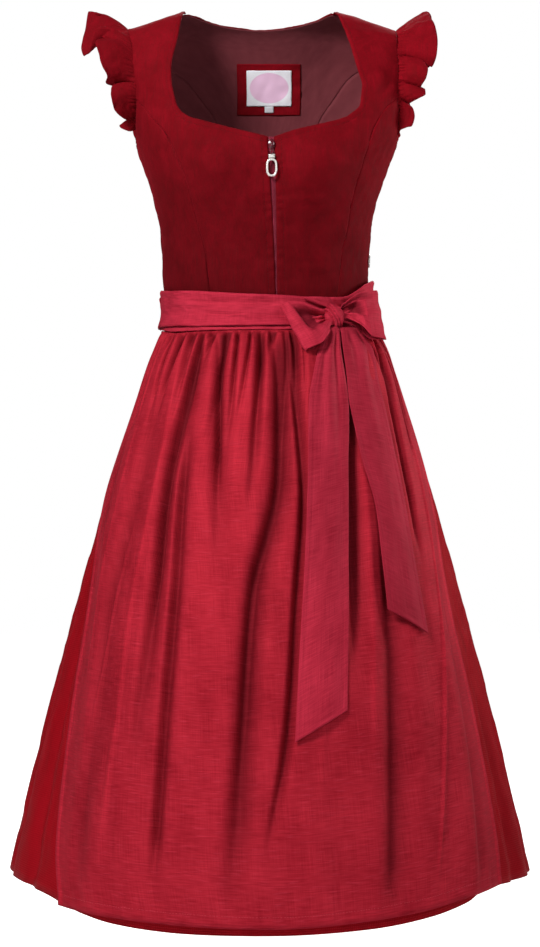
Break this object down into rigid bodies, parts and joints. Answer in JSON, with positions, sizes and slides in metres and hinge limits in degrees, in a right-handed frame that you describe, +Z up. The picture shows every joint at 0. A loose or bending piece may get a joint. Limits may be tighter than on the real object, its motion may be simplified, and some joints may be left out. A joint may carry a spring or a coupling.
{
  "type": "dirndl",
  "caption": "Sleeveless dirndl with a velvet bodice, ruffled armholes and a front zip, a gathered skirt and an apron tied in a bow at one side.",
  "frame": {"origin": "on the shoulder line, midway between the tops of the two straps, where the wearer's shoulders hold the dress up", "axes": "+X towards the side with the bow (the viewer's right), -Y the front with the zip, +Z up"},
  "size_m": [0.6694, 0.5915, 1.1397],
  "materials": {
    "velvet": "deep red cotton velvet with a short nap",
    "lining": "dull maroon cotton lining",
    "skirt_cloth": "red cotton jacquard with a fine dotted weave",
    "apron_cloth": "crimson shantung taffeta with slubs and a soft sheen",
    "ribbon_cloth": "crimson shantung taffeta, the apron's cloth cut as band and ties",
    "zip_tape": "woven maroon zip tape",
    "zip_lacquer": "gloss burgundy lacquer",
    "silver_metal": "polished silver-coloured metal",
    "label_cloth": "plain white woven label"
  },
  "bodies": {
    "dress": {"bodice_front_left": "velvet", "bodice_front_right": "velvet", "bodice_side_front_left": "velvet", "bodice_side_front_right": "velvet", "bodice_side_back_left": "velvet", "bodice_side_back_right": "velvet", "bodice_back": "velvet", "ruffle_left": "velvet", "ruffle_right": "velvet", "label_patch": "velvet", "lining_back": "lining", "lining_side_left": "lining", "lining_side_right": "lining", "skirt_front": "skirt_cloth", "skirt_back": "skirt_cloth", "apron": "apron_cloth", "apron_band": "ribbon_cloth", "tie_left": "ribbon_cloth", "tie_right": "ribbon_cloth", "bow_loop_left": "ribbon_cloth", "bow_loop_right": "ribbon_cloth", "bow_knot": "ribbon_cloth", "tail_long": "ribbon_cloth", "tail_short": "ribbon_cloth", "zip_tape": "zip_tape", "zip_slider": "zip_lacquer", "badge": "silver_metal", "label": "label_cloth", "size_tab": "label_cloth"},
    "zip_pull": {"zip_loop": "zip_lacquer", "zip_clasp": "silver_metal"},
    "zip_ring": {"zip_pendant": "silver_metal"}
  },
  "joints": [
    {"name": "pull_swing", "type": "hinge", "parent": "dress", "child": "zip_pull", "pos_m": [0.0145, -0.123, -0.1984], "axis": [-1, 0, 0], "range_deg": [0, 120]},
    {"name": "ring_swing", "type": "hinge", "parent": "zip_pull", "child": "zip_ring", "pos_m": [0.0145, -0.123, -0.209], "axis": [-1, 0, 0], "range_deg": [0, 60]}
  ]
}
